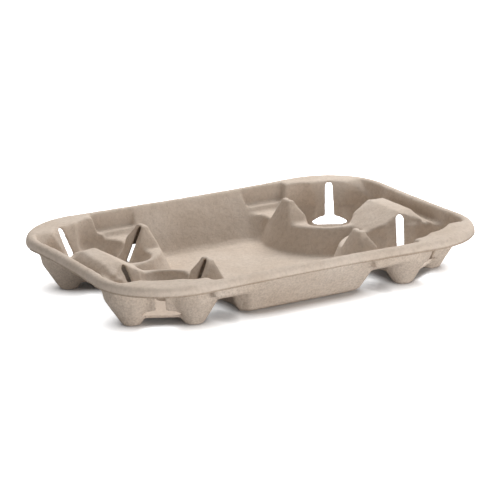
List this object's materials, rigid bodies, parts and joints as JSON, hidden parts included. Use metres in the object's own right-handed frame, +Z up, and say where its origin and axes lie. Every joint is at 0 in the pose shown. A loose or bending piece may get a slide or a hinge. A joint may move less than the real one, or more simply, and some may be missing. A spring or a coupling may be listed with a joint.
{
  "type": "moulded pulp cup and food carrier tray",
  "caption": "Shallow moulded-pulp carrier tray with a cup well in each corner, slotted to grip the cups, and a flat food compartment in the middle.",
  "frame": {"origin": "middle of the tray on the surface that it stands on", "axes": "+X along the length of the tray, +Y across it, +Z up out of the wells"},
  "size_m": [0.33, 0.244, 0.042],
  "materials": {
    "pulp": "matte moulded fibre, slightly rough"
  },
  "bodies": {
    "root": {"carrier_tray": "pulp"}
  },
  "joints": []
}
